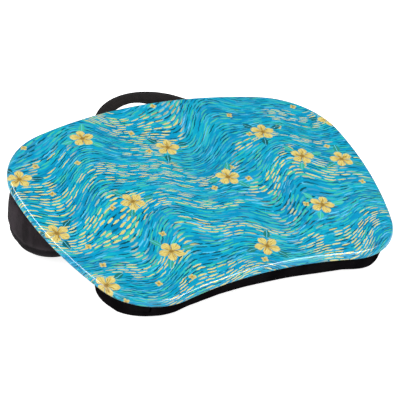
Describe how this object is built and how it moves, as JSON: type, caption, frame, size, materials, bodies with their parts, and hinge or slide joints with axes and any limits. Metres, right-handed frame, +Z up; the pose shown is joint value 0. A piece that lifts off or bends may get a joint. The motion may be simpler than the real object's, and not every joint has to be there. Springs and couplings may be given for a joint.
{
  "type": "cushioned lap desk",
  "caption": "Lap desk: a film-covered board with a hollow front edge on two soft bolsters, tilted towards the user, with a fold-away cloth carry handle at the back.",
  "frame": {"origin": "on the table, under the middle of the desk's overall box", "axes": "+Z up, +X to the user's right, +Y away from the user; the board slopes down towards the user"},
  "size_m": [0.4546, 0.3712, 0.1092],
  "materials": {
    "board": "raw fibreboard, hidden under the film",
    "film": "glossy printed film, blue and turquoise with pale yellow",
    "cover_cloth": "black woven polyester",
    "filling": "loose white beads, hidden in the covers",
    "webbing": "black woven cloth, doubled and topstitched",
    "stiffener": "flat plastic strip, hidden in the handle",
    "staple": "bright galvanised wire"
  },
  "bodies": {
    "desk": {"core_board": "board", "print_film": "film", "base_cloth": "cover_cloth", "rear_gusset": "cover_cloth", "rear_bottom_panel": "cover_cloth", "rear_filling": "filling", "front_gusset_waist": "cover_cloth", "front_gusset_wrap": "cover_cloth", "front_bottom_panel": "cover_cloth", "front_filling": "filling", "handle_ends": "webbing", "handle_staples": "staple", "cloth_staples": "staple"},
    "handle": {"handle_sleeve": "webbing", "handle_stiffener": "stiffener"}
  },
  "joints": [
    {"name": "handle_fold", "type": "hinge", "parent": "desk", "child": "handle", "pos_m": [0, 0.15152, 0.09961], "axis": [1, 0, 0], "range_deg": [-80, 80], "stiffness_Nm_per_rad": 0.05}
  ]
}
